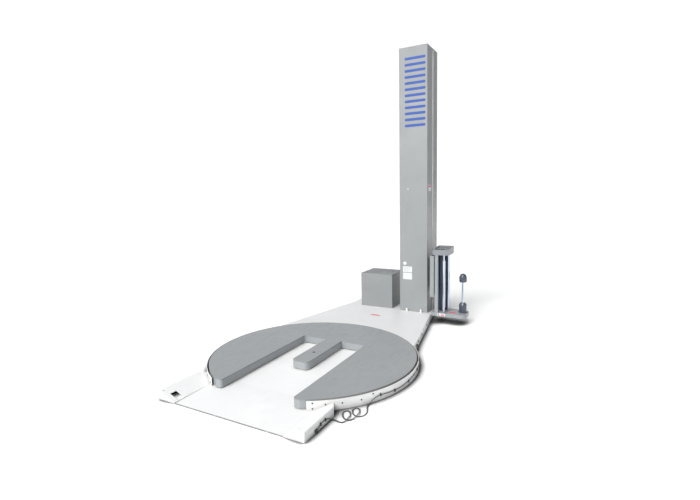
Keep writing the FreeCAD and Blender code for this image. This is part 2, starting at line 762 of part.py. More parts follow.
def carriage_head_part():
    """A flat case over the rollers: it holds their top bearings, the gears and the roller brake."""
    s = carriage_sheet
    outer = box(head_left, head_right, carriage_front, carriage_back, head_bottom, head_top)
    corners = [(x, y, 4.0) for x in (head_left, head_right) for y in (carriage_front, carriage_back)]
    outer = round_upright_edges(outer, corners)
    inner = box(head_left + s, head_right - s, carriage_front + s, carriage_back - s,
                head_bottom + s, head_top - s)
    head = outer.cut(inner)
    for x, y in ((feed_x, feed_y), (stretch_x, stretch_y)):
        head = head.cut(upright(roller_shaft + running, head_bottom - 1, head_bottom + s + 1, x, y))
    for x, y in ((chrome_front_x, chrome_front_y), (chrome_rear_x, chrome_rear_y)):
        head = head.cut(upright(chrome_shaft + running, head_bottom - 1, head_bottom + s + 1, x, y))
    rim = 13.0
    for front, back in ((carriage_front + rim, feed_y - 36), (feed_y + 36, carriage_back - rim)):
        window = box(head_left + rim, head_right - rim, front, back, head_top - s - 1, head_top + 1)
        head = head.cut(window)
    return joined([head, head_rim()])


def head_rim():
    """A thin wall on the case's sides and back that rises towards the back."""
    s = carriage_sheet
    low = head_top - 1
    high = head_top + head_rise
    outer = box(head_left, head_right, carriage_front, carriage_back, low, high)
    corners = [(x, y, 4.0) for x in (head_left, head_right) for y in (carriage_front, carriage_back)]
    outer = round_upright_edges(outer, corners)
    wall = outer.cut(box(head_left + s, head_right - s, carriage_front, carriage_back - s, low, high))
    corners = [(carriage_front + 6, low), (carriage_back, low), (carriage_back, high)]
    points = [FreeCAD.Vector(head_left, y, z) for y, z in corners]
    side = Part.Face(Part.makePolygon(points + points[:1]))
    wedge = side.extrude(FreeCAD.Vector(head_right - head_left, 0, 0))
    return wall.common(wedge)


def rubber_roller(x, y, shaft_top):
    cover = upright(rubber_radius, pan_top + 10, head_bottom - 12, x, y)
    cover = cover.makeFillet(3.0, [e for e in cover.Edges if e.Length > 2 * math.pi * rubber_radius - 1])
    return joined([cover, upright(roller_shaft, pan_bottom + 16, shaft_top, x, y)])


def chrome_roller(x, y, body_top):
    body = upright(chrome_radius, pan_top + 7, body_top, x, y)
    body = body.makeChamfer(1.0, [e for e in body.Edges if e.Length > 2 * math.pi * chrome_radius - 1])
    return joined([body, upright(chrome_shaft, pan_bottom + 16, head_bottom + 10, x, y)])


def spur_gear(teeth, x, y, z0, z1, bore, phase):
    """An involute spur gear of 20 degree pressure angle, thinned a little for backlash."""
    pitch = gear_module * teeth / 2
    base = pitch * math.cos(math.radians(20.0))
    tip = pitch + gear_module * 0.95
    root = pitch - gear_module * 1.2
    backlash = 0.22
    half_at_pitch = math.pi / (2 * teeth) - backlash / (2 * pitch)

    def spread(radius):
        angle = math.acos(min(1.0, base / radius))
        pitch_angle = math.radians(20.0)
        return half_at_pitch + (math.tan(pitch_angle) - pitch_angle) - (math.tan(angle) - angle)

    radii = [max(base, root)] + [base + (tip - base) * k / 4 for k in (1, 2, 3, 4)]
    points = []
    for tooth in range(teeth):
        centre = phase + 2 * math.pi * tooth / teeth
        points.append((root, centre - spread(radii[0])))
        points += [(r, centre - spread(r)) for r in radii]
        points += [(r, centre + spread(r)) for r in reversed(radii)]
        points.append((root, centre + spread(radii[0])))
    outline = []
    for r, a in points:
        corner = (x + r * math.cos(a), y + r * math.sin(a))
        if not outline or math.dist(corner, outline[-1]) > 1e-4:
            outline.append(corner)
    return prism(outline, z0, z1).cut(upright(bore, z0 - 1, z1 + 1, x, y))


def feed_gear_part():
    low = head_bottom + 6
    return spur_gear(feed_teeth, feed_x, feed_y, low, low + gear_width, roller_shaft, stretch_direction)


def stretch_gear_part():
    low = head_bottom + 6
    phase = stretch_direction + math.pi + math.pi / stretch_teeth
    return spur_gear(stretch_teeth, stretch_x, stretch_y, low, low + gear_width, roller_shaft, phase)


def roller_brake_part():
    top = head_top - carriage_sheet
    brake = upright(30.0, top - 24, top, feed_x, feed_y)
    return brake.cut(upright(roller_shaft + running, top - 25, top - 6, feed_x, feed_y))


def spindle_shaft_part():
    return upright(spindle_radius, pan_bottom + 9, plug_bottom + 44, spindle_x, spindle_y)


def spindle_cone_part():
    bore = spindle_radius
    low = pan_top + 1
    shape = [(bore, low), (core_radius + 8, low), (core_radius + 8, low + 5), (core_radius, low + 8)]
    shape += [(core_radius, cone_top - 19), (core_radius - 11, cone_top), (bore, cone_top)]
    cone = turned(shape, spindle_x, spindle_y)
    for k in range(6):
        a = math.radians(60 * k)
        x = spindle_x + (core_radius + 2) * math.cos(a)
        y = spindle_y + (core_radius + 2) * math.sin(a)
        cone = cone.cut(upright(8.0, cone_top - 18, cone_top + 1, x, y))
    return cone


def spindle_plug_part():
    dome = []
    steps = 8
    height = plug_top - plug_bottom
    rise = height * 0.55
    for k in range(steps + 1):
        a = math.pi / 2 * k / steps
        dome.append((core_radius * math.cos(a), plug_top - rise + rise * math.sin(a)))
    dome[-1] = (0.0, plug_top)
    shape = [(0.0, plug_bottom), (core_radius - 6, plug_bottom), (core_radius, plug_bottom + 9)] + dome
    plug = turned(shape, spindle_x, spindle_y)
    return plug.cut(upright(spindle_radius, plug_bottom - 1, plug_bottom + 44, spindle_x, spindle_y))


# --- controls -----------------------------------------------------------------------------------
def control_box_part():
    """A sheet-steel case, open at the back inside a lip that the door closes against."""
    s = box_sheet
    outer = box(box_left, box_right, box_front, box_back, bridge_top, box_top)
    inner = box(box_left + s, box_right - s, box_front + s, box_back - s, bridge_top + s, box_top - s)
    mouth = box(box_left + 20, box_right - 20, box_back - s - 1, box_back + 1, bridge_top + 20, box_top - 20)
    case = outer.cut(inner).cut(mouth)
    hinge_x, hinge_y = door_hinge()
    for z in (bridge_top + 50, box_top - 80):
        knuckle = upright(7.0, z, z + 30, hinge_x, hinge_y)
        lug = box(hinge_x - 4, hinge_x + 4, box_back - 1, hinge_y, z, z + 30)
        case = case.fuse(knuckle).fuse(lug)
    case = case.removeSplitter()
    case = case.cut(upright(4.0 + running, bridge_top + 10, box_top, hinge_x, hinge_y))
    outside = box_left - 1
    inside = box_left + s + 1
    switch_hole = along(6.0 + running, (outside, switch_y, switch_z), (inside, switch_y, switch_z))
    inlet_hole = along(6.5, (outside, inlet_y, inlet_z), (inside, inlet_y, inlet_z))
    return case.cut(switch_hole).cut(inlet_hole)


def door_hinge():
    return (box_left + 8, box_back + 9)


switch_y = box_front + 160
switch_z = 300.0
inlet_y = box_back - 45
inlet_z = 125.0
latch_x = box_right - 34
latch_z = 262.0


def box_door_part():
    """The rear door with its folded edge, hinge knuckles and the two hinge pins."""
    hinge_x, hinge_y = door_hinge()
    near = box_back + free_gap
    plate = box(hinge_x + 10, box_right - 2, near, near + 3, bridge_top + 6, box_top - 6)
    pieces = [plate]
    for z in (bridge_top + 50, box_top - 80):
        pieces.append(upright(7.0, z + 30.5, z + 50, hinge_x, hinge_y))
        pieces.append(upright(4.0, z + 1, z + 50, hinge_x, hinge_y))
        pieces.append(box(hinge_x, hinge_x + 12, hinge_y - 6, hinge_y - 2.5, z + 30.5, z + 50))
        pieces.append(box(hinge_x + 9, hinge_x + 12, near, hinge_y - 2.5, z + 30.5, z + 50))
    door = joined(pieces)
    return door.cut(along(5.0 + running, (latch_x, near - 1, latch_z), (latch_x, near + 4, latch_z)))


def door_latch_part():
    """A quarter-turn knob whose cam points up when open and sideways, behind the lip, when closed."""
    near = box_back + free_gap
    knob = along(13.0, (latch_x, near + 3.5, latch_z), (latch_x, near + 16, latch_z))
    shank = along(5.0, (latch_x, box_back - 12, latch_z), (latch_x, near + 4, latch_z))
    cam = box(latch_x - 6, latch_x + 6, box_back - 12, box_back - 8, latch_z - 6, latch_z + 24)
    grip = box(latch_x - 3, latch_x + 3, near + 15, near + 22, latch_z - 12, latch_z + 12)
    return joined([knob, shank, cam, grip])


def component_plate_part():
    """The mounting plate inside the control box with two drives, a contactor row and a supply."""
    back = box_front + box_sheet
    plate = box(box_left + 25, box_right - 25, back, back + 3, bridge_top + 25, box_top - 25)
    pieces = [plate]
    for x in (-270.0, -165.0):
        pieces.append(box(x, x + 85, back + 2, back + 120, 240, 400))
    for k in range(4):
        pieces.append(box(-270 + 46 * k, -270 + 46 * k + 40, back + 2, back + 70, 120, 195))
    pieces.append(box(-60, 20, back + 2, back + 90, 250, 390))
    return joined(pieces)


def main_switch_part():
    """A rotary isolator on the box's left side: a round plate with a grip bar and its spindle."""
    disc = along(24.0, (box_left - 8, switch_y, switch_z), (box_left - 0.5, switch_y, switch_z))
    grip = box(box_left - 26, box_left - 7, switch_y - 5, switch_y + 5, switch_z - 21, switch_z + 21)
    spindle = along(6.0, (box_left - 4, switch_y, switch_z), (box_left + 20, switch_y, switch_z))
    return joined([disc, grip, spindle])


def operator_panel_part():
    x0 = mast_left - panel_depth
    case = box(x0, mast_left, panel_front, panel_back, panel_bottom, panel_top)
    edges = [e for e in case.Edges if all(abs(v.X - x0) < 0.1 for v in e.Vertexes)]
    case = case.makeChamfer(3.0, edges)
    window = box(x0 - 1, x0 + 2, panel_front + 18, panel_back - 18, 1330, 1400)
    case = case.cut(window)
    pockets = [(y, button_z) for y in button_y] + [(stop_y, stop_z)]
    for y, z in pockets:
        case = case.cut(along(button_radius + button_gap, (x0 - 1, y, z), (x0 + 21, y, z)))
    return case


def push_button(y):
    x0 = mast_left - panel_depth
    button = along(button_radius, (x0 - 6, y, button_z), (x0 + 14, y, button_z))
    front = [e for e in button.Edges if all(abs(v.X - (x0 - 6)) < 0.1 for v in e.Vertexes)]
    return button.makeChamfer(1.0, front)


def emergency_stop_part():
    x0 = mast_left - panel_depth
    head = along(stop_head_radius, (x0 - 25, stop_y, stop_z), (x0 - 11, stop_y, stop_z))
    front = [e for e in head.Edges if all(abs(v.X - (x0 - 25)) < 0.1 for v in e.Vertexes)]
    head = head.makeFillet(5.0, front)
    neck = along(button_radius, (x0 - 12, stop_y, stop_z), (x0 + 12, stop_y, stop_z))
    return joined([head, neck])


# --- sensor cable and its fittings --------------------------------------------------------------
def cable_path():
    """Straight runs joined by tangent arcs, each as large as its two runs allow."""
    points = [FreeCAD.Vector(*p) for p in cable_route]
    edges = []
    radii = []
    last = points[0]
    for before, at, after in zip(points, points[1:], points[2:]):
        into = at - before
        out = after - at
        shorter = min(into.Length, out.Length)
        turn = into.getAngle(out)
        radius = 0.45 * shorter / math.tan(turn / 2)
        radii.append(radius)
        back = 0.45 * shorter
        u = FreeCAD.Vector(into)
        u.normalize()
        v = FreeCAD.Vector(out)
        v.normalize()
        start = at - u * back
        end = at + v * back
        inward = v - u
        inward.normalize()
        middle = at + inward * (radius / math.cos(turn / 2) - radius)
        edges.append(Part.LineSegment(last, start).toShape())
        edges.append(Part.Arc(start, middle, end).toShape())
        last = end
    edges.append(Part.LineSegment(last, points[-1]).toShape())
    print("cable radii", [round(r) for r in radii])
    return Part.Wire(edges)


def sensor_cable_part():
    path = cable_path()
    start = FreeCAD.Vector(*cable_route[0])
    heading = FreeCAD.Vector(*cable_route[1]) - start
    ring = Part.Wire(Part.makeCircle(cable_diameter / 2, start, heading))
    tube = path.makePipeShell([ring], True, False)
    section = math.pi * (cable_diameter / 2) ** 2
    print("cable length", round(path.Length))
    print("cable volume ratio", round(tube.Volume / (section * path.Length), 4))
    return tube


def cable_fittings_part():
    """The gland where the cable leaves the bridge, its clips, its end socket and the mains inlet."""
    pieces = []
    start = FreeCAD.Vector(*cable_route[0])
    heading = FreeCAD.Vector(*cable_route[1]) - start
    heading.normalize()
    back = start - heading * 22
    gland = along(6.5, tuple(back), tuple(start))
    foot = box(654, 672, back.y - 4, back.y + 16, 33, 47)
    foot = foot.cut(prism(bridge_outline(), 20, 60))
    pieces.append(joined([gland, foot]).cut(prism(bridge_outline(), 20, 60)))
    for angle in clip_angles:
        height = clip_height(angle)
        clip = box(skirt_outer, skirt_outer + 9, -4, 4, height - 9, height + 9)
        clip = clip.cut(upright(skirt_outer, height - 20, height + 20))
        pieces.append(turn_about_pivot(clip, angle))
    for y, z in ((-818.0, 32.0), (-872.0, 30.0)):
        pieces.append(box(wing_half, wing_half + 9, y - 4, y + 4, z - 9, z + 9))
    end = cable_route[-1]
    pieces.append(box(wing_half, wing_half + 11, end[1] - 20, end[1], end[2] - 9, end[2] + 9))
    inlet = along(13.0, (box_left - 12, inlet_y, inlet_z), (box_left, inlet_y, inlet_z))
    thread = along(6.5, (box_left - 1, inlet_y, inlet_z), (box_left + 10, inlet_y, inlet_z))
    bore = along(5.0, (box_left - 13, inlet_y, inlet_z), (box_left + 11, inlet_y, inlet_z))
    pieces.append(joined([inlet, thread]).cut(bore))
    return Part.makeCompound(pieces)


def clip_height(angle):
    """The cable's height where it passes a clip at this angle round the skirt."""
    best = min(cable_route[3:17], key=lambda p: abs(math.degrees(math.atan2(p[1], p[0])) - angle))
    return best[2]


# --- all parts ----------------------------------------------------------------------------------
def main():
    os.makedirs("parts", exist_ok=True)
    save("floor_plate", floor_plate_part())
    save("entry_ramp", entry_ramp_part())
    save("right_wing", right_wing_part())
    save("left_wing", left_wing_part())
    skirt = right_skirt_part()
    save("right_skirt", skirt)
    save("left_skirt", mirror_left(skirt))
    save("base_screws", base_screws_part())
    save("bridge_frame", bridge_frame_part())
    save("bridge_cover", bridge_cover_part())
    save("foot_bolts", foot_bolts_part())
    save("pivot_post", pivot_post_part())
    save("pivot_screw", pivot_screw_part())
    save("right_drive_motor", drive_motor_part(1))
    save("left_drive_motor", drive_motor_part(-1))
    save("right_drive_wheel", drive_wheel_part(1))
    save("left_drive_wheel", drive_wheel_part(-1))
    save("deck_plate", deck_plate_part())
    save("deck_frame", deck_frame_part())
    save("pivot_hub", pivot_hub_part())
    bracket = wheel_bracket()
    save("wheel_brackets", Part.makeCompound([turn_about_pivot(bracket, a) for a in wheel_angles]))
    wheel = support_wheel()
    for number, angle in enumerate(wheel_angles, start=1):
        save("support_wheel_" + str(number), turn_about_pivot(wheel, angle))
    save("mast_front_cover", mast_front_cover_part())
    save("mast_rear_cover", mast_rear_cover_part())
    save("mast_cap", mast_cap_part())
    save("mast_column", mast_column_part())
    save("idler_sprocket", idler_sprocket_part())
    save("drive_sprocket", drive_sprocket_part())
    save("lift_chain", lift_chain_part())
    save("lift_motor", lift_motor_part())
    save("carriage_slider", carriage_slider_part())
    save("carriage_frame", carriage_frame_part())
    save("carriage_pan", carriage_pan_part())
    save("carriage_post", carriage_post_part())
    save("carriage_head", carriage_head_part())
    save("feed_roller", rubber_roller(feed_x, feed_y, head_top - 10))
    save("stretch_roller", rubber_roller(stretch_x, stretch_y, head_bottom + 20))
    save("front_chrome_roller", chrome_roller(chrome_front_x, chrome_front_y, head_bottom - 57))
    save("rear_chrome_roller", chrome_roller(chrome_rear_x, chrome_rear_y, head_bottom - 8))
    save("feed_gear", feed_gear_part())
    save("stretch_gear", stretch_gear_part())
    save("roller_brake", roller_brake_part())
    save("spindle_shaft", spindle_shaft_part())
    save("spindle_cone", spindle_cone_part())
    save("spindle_plug", spindle_plug_part())
    save("control_box", control_box_part())
    save("box_door", box_door_part())
    save("door_latch", door_latch_part())
    save("component_plate", component_plate_part())
    save("main_switch", main_switch_part())
    save("operator_panel", operator_panel_part())
    save("start_button", push_button(button_y[0]))
    save("stop_button", push_button(button_y[1]))
    save("emergency_stop", emergency_stop_part())
    save("sensor_cable", sensor_cable_part())
    save("cable_fittings", cable_fittings_part())


main()
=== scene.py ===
import math
import bmesh
import bpy
from mathutils import Matrix, Vector


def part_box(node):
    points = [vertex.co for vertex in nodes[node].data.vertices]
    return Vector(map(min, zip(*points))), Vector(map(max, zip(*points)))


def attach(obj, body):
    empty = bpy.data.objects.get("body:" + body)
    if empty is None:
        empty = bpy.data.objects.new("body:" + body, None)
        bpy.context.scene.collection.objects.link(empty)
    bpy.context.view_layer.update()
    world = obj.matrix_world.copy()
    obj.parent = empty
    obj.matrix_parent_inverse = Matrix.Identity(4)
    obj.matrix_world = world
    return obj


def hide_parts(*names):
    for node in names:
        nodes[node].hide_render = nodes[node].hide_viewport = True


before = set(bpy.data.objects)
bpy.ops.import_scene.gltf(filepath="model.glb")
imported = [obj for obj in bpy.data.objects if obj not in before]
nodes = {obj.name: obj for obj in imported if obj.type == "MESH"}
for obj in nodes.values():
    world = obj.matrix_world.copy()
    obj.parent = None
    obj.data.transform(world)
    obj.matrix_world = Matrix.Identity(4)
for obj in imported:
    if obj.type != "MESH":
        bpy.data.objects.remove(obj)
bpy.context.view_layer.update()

scene = bpy.context.scene


# --- shader helpers -----------------------------------------------------------------------------
class Shader:
    """One material: a Principled shader and short ways to add nodes to it."""

    def __init__(self, name, colour, roughness, metallic=0.0, **sockets):
        self.mat = bpy.data.materials.new(name)
        self.mat.use_nodes = True
        self.tree = self.mat.node_tree
        self.tree.nodes.clear()
        out = self.tree.nodes.new("ShaderNodeOutputMaterial")
        self.bsdf = self.tree.nodes.new("ShaderNodeBsdfPrincipled")
        self.tree.links.new(self.bsdf.outputs[0], out.inputs[0])
        self.bsdf.inputs["Base Color"].default_value = (*colour, 1)
        self.bsdf.inputs["Roughness"].default_value = roughness
        self.bsdf.inputs["Metallic"].default_value = metallic
        for key, value in sockets.items():
            self.bsdf.inputs[key.replace("_", " ")].default_value = value
        self.coord = self.tree.nodes.new("ShaderNodeTexCoord")
        self.colour = None
        self.base = colour

    def link(self, out, into):
        self.tree.links.new(out, into)

    def scaled(self, scale):
        mapping = self.tree.nodes.new("ShaderNodeMapping")
        mapping.inputs["Scale"].default_value = scale
        self.link(self.coord.outputs["Object"], mapping.inputs[0])
        return mapping.outputs[0]

    def noise(self, scale, detail=3.0, stretch=(1, 1, 1), rough=0.55):
        n = self.tree.nodes.new("ShaderNodeTexNoise")
        n.inputs["Scale"].default_value = scale
        n.inputs["Detail"].default_value = detail
        n.inputs["Roughness"].default_value = rough
        self.link(self.scaled(stretch), n.inputs["Vector"])
        return n.outputs["Fac"]

    def spots(self, scale, stretch=(1, 1, 1)):
        n = self.tree.nodes.new("ShaderNodeTexVoronoi")
        n.inputs["Scale"].default_value = scale
        self.link(self.scaled(stretch), n.inputs["Vector"])
        return n.outputs["Distance"]

    def remap(self, value, a, b, low=0.0, high=1.0):
        m = self.tree.nodes.new("ShaderNodeMapRange")
        m.interpolation_type = "SMOOTHSTEP"
        m.inputs["From Min"].default_value = a
        m.inputs["From Max"].default_value = b
        m.inputs["To Min"].default_value = low
        m.inputs["To Max"].default_value = high
        self.link(value, m.inputs["Value"])
        return m.outputs["Result"]

    def product(self, a, b):
        m = self.tree.nodes.new("ShaderNodeMath")
        m.operation = "MULTIPLY"
        self.link(a, m.inputs[0])
        if isinstance(b, float):
            m.inputs[1].default_value = b
        else:
            self.link(b, m.inputs[1])
        return m.outputs[0]

    def tint(self, factor, colour):
        """Mixes another colour over what the base colour is so far."""
        mix = self.tree.nodes.new("ShaderNodeMix")
        mix.data_type = "RGBA"
        self.link(factor, mix.inputs["Factor"])
        if self.colour is None:
            mix.inputs["A"].default_value = (*self.base, 1)
        else:
            self.link(self.colour, mix.inputs["A"])
        mix.inputs["B"].default_value = (*colour, 1)
        self.colour = mix.outputs["Result"]
        self.link(self.colour, self.bsdf.inputs["Base Color"])

    def rough(self, value):
        self.link(value, self.bsdf.inputs["Roughness"])

    def bump(self, height, strength, distance, edge=0.0):
        b = self.tree.nodes.new("ShaderNodeBump")
        b.inputs["Strength"].default_value = strength
        b.inputs["Distance"].default_value = distance
        self.link(height, b.inputs["Height"])
        if edge:
            bevel = self.tree.nodes.new("ShaderNodeBevel")
            bevel.samples = 4
            bevel.inputs["Radius"].default_value = edge
            self.link(bevel.outputs[0], b.inputs["Normal"])
        self.link(b.outputs[0], self.bsdf.inputs["Normal"])

    def crevice(self, distance):
        """1 in corners and under edges, 0 in the open."""
        ao = self.tree.nodes.new("ShaderNodeAmbientOcclusion")
        ao.samples = 6
        ao.inputs["Distance"].default_value = distance
        return self.remap(ao.outputs["AO"], 0.95, 0.45)

    def facing_up(self):
        """1 on surfaces that face up."""
        geo = self.tree.nodes.new("ShaderNodeNewGeometry")
        split = self.tree.nodes.new("ShaderNodeSeparateXYZ")
        self.link(geo.outputs["True Normal"], split.inputs[0])
        return self.remap(split.outputs["Z"], 0.6, 0.95)

    def along(self, axis):
        """The place along one axis of the object's own coordinates, in metres."""
        split = self.tree.nodes.new("ShaderNodeSeparateXYZ")
        self.link(self.coord.outputs["Object"], split.inputs[0])
        return split.outputs[axis]

    def band(self, axis, start, end, blur):
        """1 between start and end along that axis, 0 outside, with a soft border on both sides."""
        place = self.along(axis)
        return self.product(self.remap(place, start - blur, start),
                            self.remap(place, end, end + blur, 1.0, 0.0))

    def mottle(self, scale, detail, low, high, share, colour, stretch=(1, 1, 1), rough=0.55):
        """Lays soft patches of another colour where a noise is above low, full from high upwards."""
        self.tint(self.remap(self.noise(scale, detail, stretch, rough), low, high, 0.0, share), colour)

    def uneven_gloss(self, scale, detail, glossy, dull, stretch=(1, 1, 1)):
        """Varies the roughness between two values."""
        self.rough(self.remap(self.noise(scale, detail, stretch), 0.35, 0.7, glossy, dull))


def powder_coat(name, colour, dark, light, roughness, crevice_dust_and_shade=(0.30, 0.29, 0.27), crevice_dust_and_shade_share=0.35, top=None):
    """Baked powder coat: fine orange peel, soft cloudiness, faint rubbing, and a crevice colour that is
    paler dust on the dark greys and painted shade on the white coats; top, when given, is painted shade on
    the faces that look up.
    """
    s = Shader(name, colour, roughness, Coat_Weight=0.06, Coat_Roughness=0.35)
    # a darker colour on the faces that look up: painted shade for a top that gets less light
    if top is not None:
        s.tint(s.facing_up(), top)
    s.mottle(2.3, 4.0, 0.42, 0.72, 0.55, light)
    s.mottle(5.1, 5.0, 0.52, 0.80, 0.50, dark)
    s.mottle(260.0, 2.0, 0.58, 0.78, 0.30, dark)
    # crevices take the crevice colour: painted shade where it darkens the white coats, paler dust on the
    # dark greys
    s.tint(s.product(s.crevice(0.035), crevice_dust_and_shade_share), crevice_dust_and_shade)
    rub = s.remap(s.noise(34.0, 6.0, (1.0, 0.25, 1.0), 0.7), 0.45, 0.75, roughness - 0.08, roughness + 0.14)
    s.rough(rub)
    s.bump(s.noise(900.0, 2.0), 0.22, 0.0004, edge=0.0012)
    return s


# --- materials ----------------------------------------------------------------------------------
deck_top = powder_coat("deck_top_coat", (0.248, 0.260, 0.268), (0.224, 0.236, 0.244),
                       (0.276, 0.286, 0.293), 0.40)
deck_top.mottle(9.0, 6.0, 0.60, 0.78, 0.35, (0.190, 0.202, 0.212), (1.0, 0.35, 1.0), 0.65)
deck_top.mottle(520.0, 1.0, 0.62, 0.72, 0.40, (0.33, 0.342, 0.348))
deck_top.bsdf.inputs["Specular IOR Level"].default_value = 0.22
deck_side = powder_coat("deck_side_coat", (0.285, 0.303, 0.318), (0.245, 0.262, 0.276),
                        (0.325, 0.342, 0.355), 0.40)
white = powder_coat("base_coat", (0.71, 0.715, 0.72), (0.65, 0.655, 0.66), (0.77, 0.77, 0.77), 0.45,
                    crevice_dust_and_shade=(0.36, 0.34, 0.31), crevice_dust_and_shade_share=0.45)
white.mottle(3.4, 6.0, 0.62, 0.80, 0.32, (0.62, 0.62, 0.60), (1.0, 0.30, 1.0), 0.7)
cover_white = powder_coat("cover_coat", (0.60, 0.607, 0.612), (0.55, 0.557, 0.562), (0.65, 0.655, 0.66),
                          0.42, crevice_dust_and_shade=(0.30, 0.28, 0.26), crevice_dust_and_shade_share=0.45)
cover_white.mottle(3.4, 6.0, 0.62, 0.80, 0.30, (0.50, 0.50, 0.49), (1.0, 0.30, 1.0), 0.7)
ramp_white = powder_coat("ramp_coat", (0.69, 0.695, 0.70), (0.62, 0.625, 0.63), (0.75, 0.75, 0.75), 0.45,
                         crevice_dust_and_shade=(0.42, 0.40, 0.37), crevice_dust_and_shade_share=0.30)
ramp_white.mottle(6.0, 6.0, 0.58, 0.74, 0.30, (0.60, 0.60, 0.59), (1.0, 0.10, 1.0), 0.75)
# the ramp's front lip is painted dark, in patches: a painted shadow line along its front edge
ramp_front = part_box("entry_ramp")[0].y
lip_shadow = ramp_white.remap(ramp_white.along("Y"), ramp_front + 0.0110, ramp_front + 0.0025)
patchy = ramp_white.remap(ramp_white.noise(40.0, 5.0), 0.30, 0.50, 0.55, 1.0)
ramp_white.tint(ramp_white.product(lip_shadow, patchy), (0.17, 0.17, 0.165))

mast_greys = ((0.250, 0.262, 0.268), (0.215, 0.228, 0.234), (0.285, 0.298, 0.303))
mast_paint = powder_coat("mast_coat", *mast_greys, 0.38)
rear_paint = powder_coat("mast_rear_coat", *mast_greys, 0.38)
# the rear cover's lip, seen through the mast's slot, carries a painted highlight: a bright band where light
# would catch it
slot_from_face = 0.155
slot_width = 0.050
slot_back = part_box("mast_front_cover")[0].y + slot_from_face + slot_width
rear_paint.tint(rear_paint.band("Y", slot_back - 0.0004, slot_back + 0.0006, 0.0005), (0.86, 0.87, 0.88))
# the box's top is painted darker where it faces up: painted shade
box_paint = powder_coat("box_coat", (0.225, 0.236, 0.242), (0.195, 0.206, 0.212), (0.258, 0.268, 0.273),
                        0.38, top=(0.120, 0.126, 0.130))
carriage_paint = powder_coat("carriage_coat", (0.245, 0.262, 0.275), (0.200, 0.215, 0.228),
                             (0.295, 0.310, 0.320), 0.36)
head_paint = powder_coat("head_coat", (0.190, 0.206, 0.224), (0.150, 0.165, 0.180), (0.235, 0.250, 0.265),
                         0.36)

steel = Shader("machined_steel", (0.42, 0.42, 0.43), 0.38, 0.9)
steel.mottle(18.0, 5.0, 0.45, 0.75, 0.5, (0.30, 0.30, 0.31))
steel.uneven_gloss(60.0, 4.0, 0.28, 0.5, (1.0, 1.0, 0.2))
steel.bump(steel.noise(700.0, 3.0, (1.0, 1.0, 0.15)), 0.25, 0.0003, 0.0006)

zinc = Shader("zinc_plate", (0.66, 0.66, 0.64), 0.30, 0.85)
zinc.mottle(90.0, 4.0, 0.45, 0.7, 0.4, (0.80, 0.79, 0.74))
zinc.uneven_gloss(240.0, 3.0, 0.22, 0.42)
zinc.bump(zinc.noise(1400.0, 2.0), 0.2, 0.0002, 0.0006)

bright_zinc = Shader("bright_zinc_plate", (0.84, 0.84, 0.82), 0.30, 0.25)
bright_zinc.mottle(90.0, 4.0, 0.45, 0.7, 0.4, (0.72, 0.71, 0.68))
bright_zinc.uneven_gloss(240.0, 3.0, 0.22, 0.42)
bright_zinc.bump(bright_zinc.noise(1400.0, 2.0), 0.2, 0.0002, 0.0008)

screw_black = Shader("blackened_screw", (0.055, 0.055, 0.06), 0.4, 0.6)
screw_black.mottle(300.0, 3.0, 0.5, 0.7, 0.5, (0.16, 0.15, 0.14))
screw_black.uneven_gloss(500.0, 3.0, 0.3, 0.5)
screw_black.bump(screw_black.noise(1600.0, 2.0), 0.25, 0.0002, 0.0005)

chrome = Shader("chrome_plate", (0.60, 0.65, 0.75), 0.10, 1.0)
chrome.mottle(14.0, 4.0, 0.45, 0.75, 0.5, (0.44, 0.49, 0.60), (1.0, 1.0, 0.15))
chrome.rough(chrome.remap(chrome.noise(80.0, 4.0, (0.2, 0.2, 3.0)), 0.35, 0.75, 0.06, 0.20))
chrome.bump(chrome.noise(900.0, 2.0, (0.15, 0.15, 2.0)), 0.08, 0.0001, 0.0004)

rubber = Shader("roller_rubber", (0.022, 0.032, 0.065), 0.42, Sheen_Weight=0.15)
rubber.mottle(20.0, 5.0, 0.45, 0.75, 0.6, (0.045, 0.062, 0.10), (1.0, 1.0, 0.25))
rubber.uneven_gloss(150.0, 4.0, 0.34, 0.56, (1.0, 1.0, 0.3))
rubber.bump(rubber.noise(1100.0, 3.0), 0.35, 0.0003, 0.0008)

tyre = Shader("drive_tyre", (0.03, 0.03, 0.032), 0.6, Sheen_Weight=0.1)
tyre.mottle(70.0, 5.0, 0.45, 0.7, 0.6, (0.07, 0.068, 0.065))
tyre.bump(tyre.noise(900.0, 4.0), 0.4, 0.0004, 0.0008)

nylon = Shader("cast_nylon", (0.72, 0.68, 0.58), 0.42, Subsurface_Weight=0.05)
nylon.mottle(45.0, 5.0, 0.45, 0.72, 0.5, (0.58, 0.54, 0.45))
nylon.uneven_gloss(200.0, 3.0, 0.34, 0.55)
nylon.bump(nylon.noise(1000.0, 3.0), 0.2, 0.0003, 0.0008)

core = Shader("core_plastic", (0.035, 0.045, 0.07), 0.30, Coat_Weight=0.6, Coat_Roughness=0.16)
core.mottle(30.0, 4.0, 0.45, 0.72, 0.6, (0.075, 0.088, 0.12))
core.uneven_gloss(260.0, 3.0, 0.28, 0.48)
core.bump(core.noise(1200.0, 2.0), 0.25, 0.0003, 0.001)

sheath = Shader("cable_sheath", (0.045, 0.045, 0.05), 0.5, Sheen_Weight=0.1)
sheath.mottle(60.0, 5.0, 0.45, 0.72, 0.5, (0.11, 0.11, 0.115))
sheath.uneven_gloss(300.0, 3.0, 0.4, 0.62)
sheath.bump(sheath.noise(1500.0, 3.0), 0.3, 0.0002)

black = Shader("black_plastic", (0.03, 0.03, 0.032), 0.42)
black.mottle(60.0, 4.0, 0.45, 0.72, 0.5, (0.065, 0.065, 0.07))
black.uneven_gloss(420.0, 3.0, 0.34, 0.55)
black.bump(black.noise(2200.0, 2.0), 0.3, 0.0002, 0.0006)

